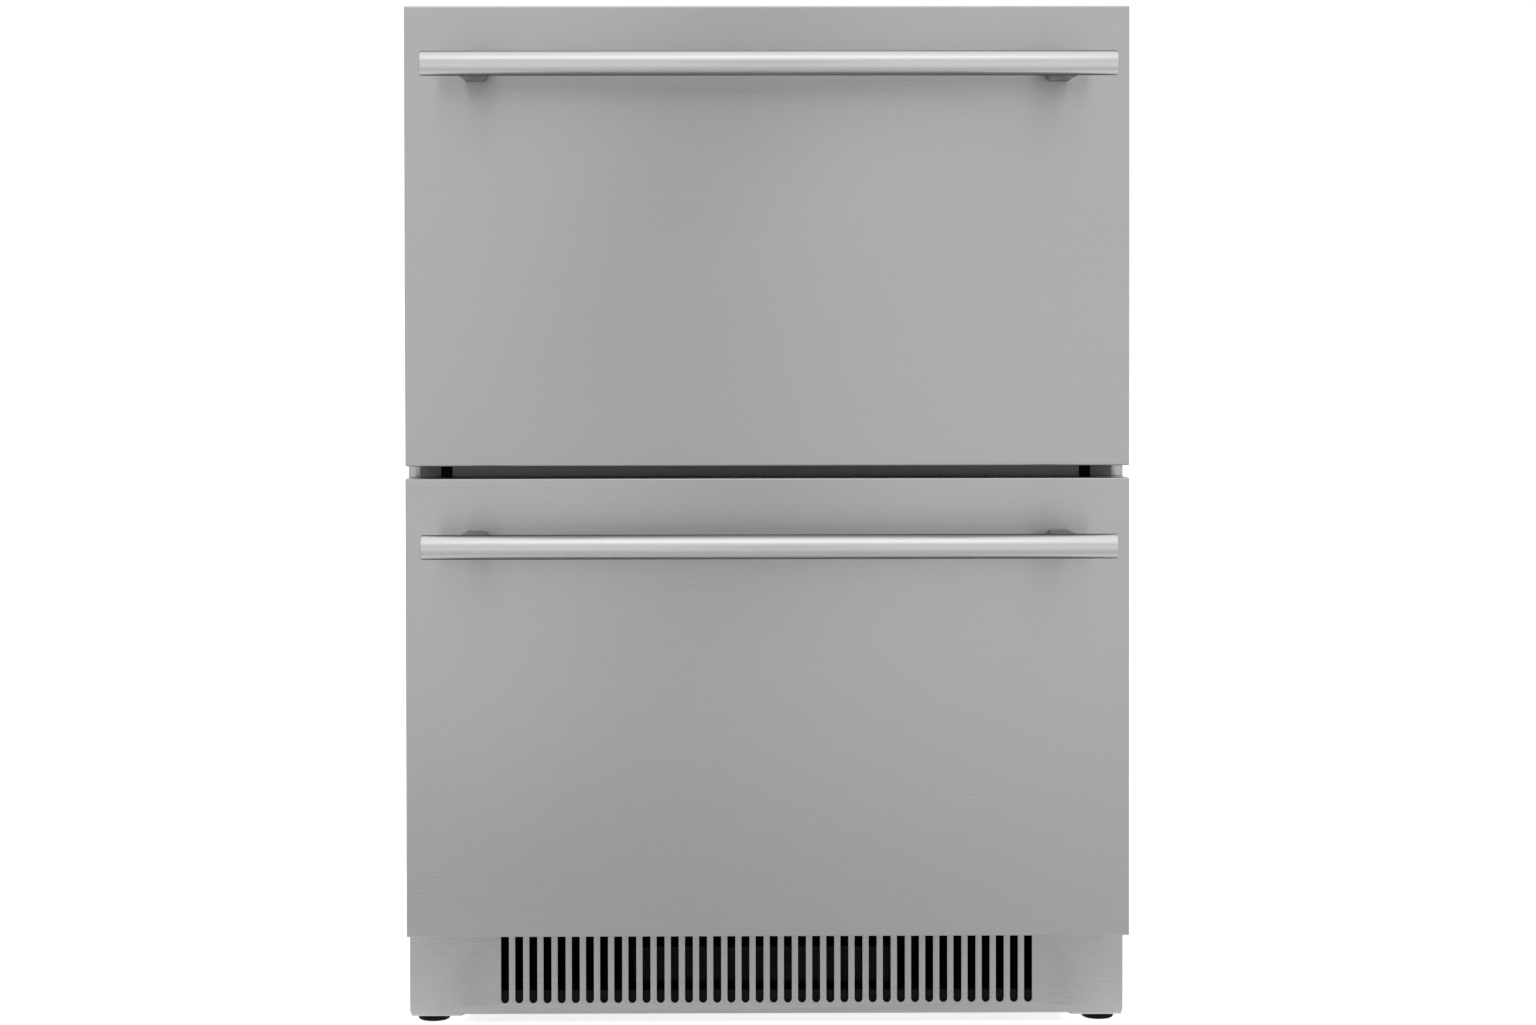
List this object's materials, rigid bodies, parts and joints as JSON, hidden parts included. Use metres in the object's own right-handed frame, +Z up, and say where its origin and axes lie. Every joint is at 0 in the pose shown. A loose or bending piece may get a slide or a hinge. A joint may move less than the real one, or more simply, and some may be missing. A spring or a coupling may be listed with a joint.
{
  "type": "under-counter drawer refrigerator",
  "caption": "Stainless under-counter refrigerator with stacked pull-out drawers, tubular bar handles, slotted kick plate and levelling feet.",
  "frame": {"origin": "middle of the footprint of the whole object, handles included, on the floor", "axes": "+Z up, drawer fronts face -Y, +X to the right of somebody facing the drawers"},
  "size_m": [0.606, 0.678, 0.859],
  "materials": {
    "stainless": "satin",
    "handle_steel": "polished",
    "galvanised": "matte",
    "rail_steel": "satin",
    "aluminium": "satin",
    "black_paint": "satin",
    "black_plastic": "matte",
    "white_plastic": "satin",
    "grey_plastic": "satin",
    "gasket_rubber": "matte",
    "foam": "matte",
    "lamp_lens": "satin"
  },
  "bodies": {
    "cabinet": {"side_panel_left": "stainless", "side_panel_right": "stainless", "top_panel": "stainless", "back_panel": "galvanised", "base_pan": "black_paint", "compartment_partition": "galvanised", "inner_liner": "white_plastic", "insulation": "foam", "mullion": "stainless", "kick_plate": "stainless", "rear_cover": "galvanised", "foot_bracket_left": "galvanised", "foot_bracket_right": "galvanised", "compressor": "black_paint", "condenser": "aluminium", "condenser_fan_frame": "black_paint", "drain_pan": "black_plastic", "power_inlet": "black_plastic", "evaporator": "aluminium", "evaporator_fan_motor": "black_paint", "evaporator_cover": "white_plastic", "control_housing": "black_plastic", "light_bar": "lamp_lens", "rail_fixed_upper_left": "rail_steel", "rail_fixed_upper_right": "rail_steel", "rail_fixed_lower_left": "rail_steel", "rail_fixed_lower_right": "rail_steel"},
    "upper_drawer": {"front_skin_upper": "stainless", "front_foam_upper": "foam", "front_inner_panel_upper": "white_plastic", "gasket_upper": "gasket_rubber", "handle_bar_upper": "handle_steel", "handle_post_upper_left": "stainless", "handle_post_upper_right": "stainless", "bin_upper": "white_plastic", "rail_moving_upper_left": "rail_steel", "rail_moving_upper_right": "rail_steel"},
    "lower_drawer": {"front_skin_lower": "stainless", "front_foam_lower": "foam", "front_inner_panel_lower": "white_plastic", "gasket_lower": "gasket_rubber", "handle_bar_lower": "handle_steel", "handle_post_lower_left": "stainless", "handle_post_lower_right": "stainless", "bin_lower": "white_plastic", "rail_moving_lower_left": "rail_steel", "rail_moving_lower_right": "rail_steel"},
    "upper_rails": {"rail_middle_upper_left": "rail_steel", "rail_middle_upper_right": "rail_steel"},
    "lower_rails": {"rail_middle_lower_left": "rail_steel", "rail_middle_lower_right": "rail_steel"},
    "condenser_fan": {"condenser_fan_blade": "aluminium"},
    "evaporator_fan": {"evaporator_fan_blade": "white_plastic"},
    "power_button": {"button_power": "grey_plastic"},
    "down_button": {"button_down": "grey_plastic"},
    "up_button": {"button_up": "grey_plastic"},
    "front_left_foot": {"foot_front_left": "black_plastic"},
    "front_right_foot": {"foot_front_right": "black_plastic"},
    "rear_left_foot": {"foot_rear_left": "black_plastic"},
    "rear_right_foot": {"foot_rear_right": "black_plastic"}
  },
  "joints": [
    {"name": "upper_drawer_slide", "type": "slide", "parent": "cabinet", "child": "upper_drawer", "axis": [0, -1, 0], "range_m": [0, 0.42]},
    {"name": "upper_rail_slide", "type": "slide", "parent": "cabinet", "child": "upper_rails", "axis": [0, -1, 0], "range_m": [0, 0.21]},
    {"name": "lower_drawer_slide", "type": "slide", "parent": "cabinet", "child": "lower_drawer", "axis": [0, -1, 0], "range_m": [0, 0.42]},
    {"name": "lower_rail_slide", "type": "slide", "parent": "cabinet", "child": "lower_rails", "axis": [0, -1, 0], "range_m": [0, 0.21]},
    {"name": "condenser_fan_spin", "type": "hinge", "parent": "cabinet", "child": "condenser_fan", "pos_m": [-0.165, 0.203, 0.13], "axis": [0, 1, 0], "continuous": true},
    {"name": "evaporator_fan_spin", "type": "hinge", "parent": "cabinet", "child": "evaporator_fan", "pos_m": [0.13, 0.248, 0.663], "axis": [0, 1, 0], "continuous": true},
    {"name": "power_button_press", "type": "slide", "parent": "cabinet", "child": "power_button", "axis": [0, 1, 0], "range_m": [0, 0.0015], "stiffness_N_per_m": 900, "springref_m": -0.0005},
    {"name": "down_button_press", "type": "slide", "parent": "cabinet", "child": "down_button", "axis": [0, 1, 0], "range_m": [0, 0.0015], "stiffness_N_per_m": 900, "springref_m": -0.0005},
    {"name": "up_button_press", "type": "slide", "parent": "cabinet", "child": "up_button", "axis": [0, 1, 0], "range_m": [0, 0.0015], "stiffness_N_per_m": 900, "springref_m": -0.0005},
    {"name": "front_left_foot_level", "type": "slide", "parent": "cabinet", "child": "front_left_foot", "axis": [0, 0, -1], "range_m": [0, 0.02]},
    {"name": "front_right_foot_level", "type": "slide", "parent": "cabinet", "child": "front_right_foot", "axis": [0, 0, -1], "range_m": [0, 0.02]},
    {"name": "rear_left_foot_level", "type": "slide", "parent": "cabinet", "child": "rear_left_foot", "axis": [0, 0, -1], "range_m": [0, 0.02]},
    {"name": "rear_right_foot_level", "type": "slide", "parent": "cabinet", "child": "rear_right_foot", "axis": [0, 0, -1], "range_m": [0, 0.02]}
  ],
  "couplings": [
    {"joint": "upper_rail_slide", "follows": "upper_drawer_slide", "ratio": 0.5},
    {"joint": "lower_rail_slide", "follows": "lower_drawer_slide", "ratio": 0.5}
  ]
}
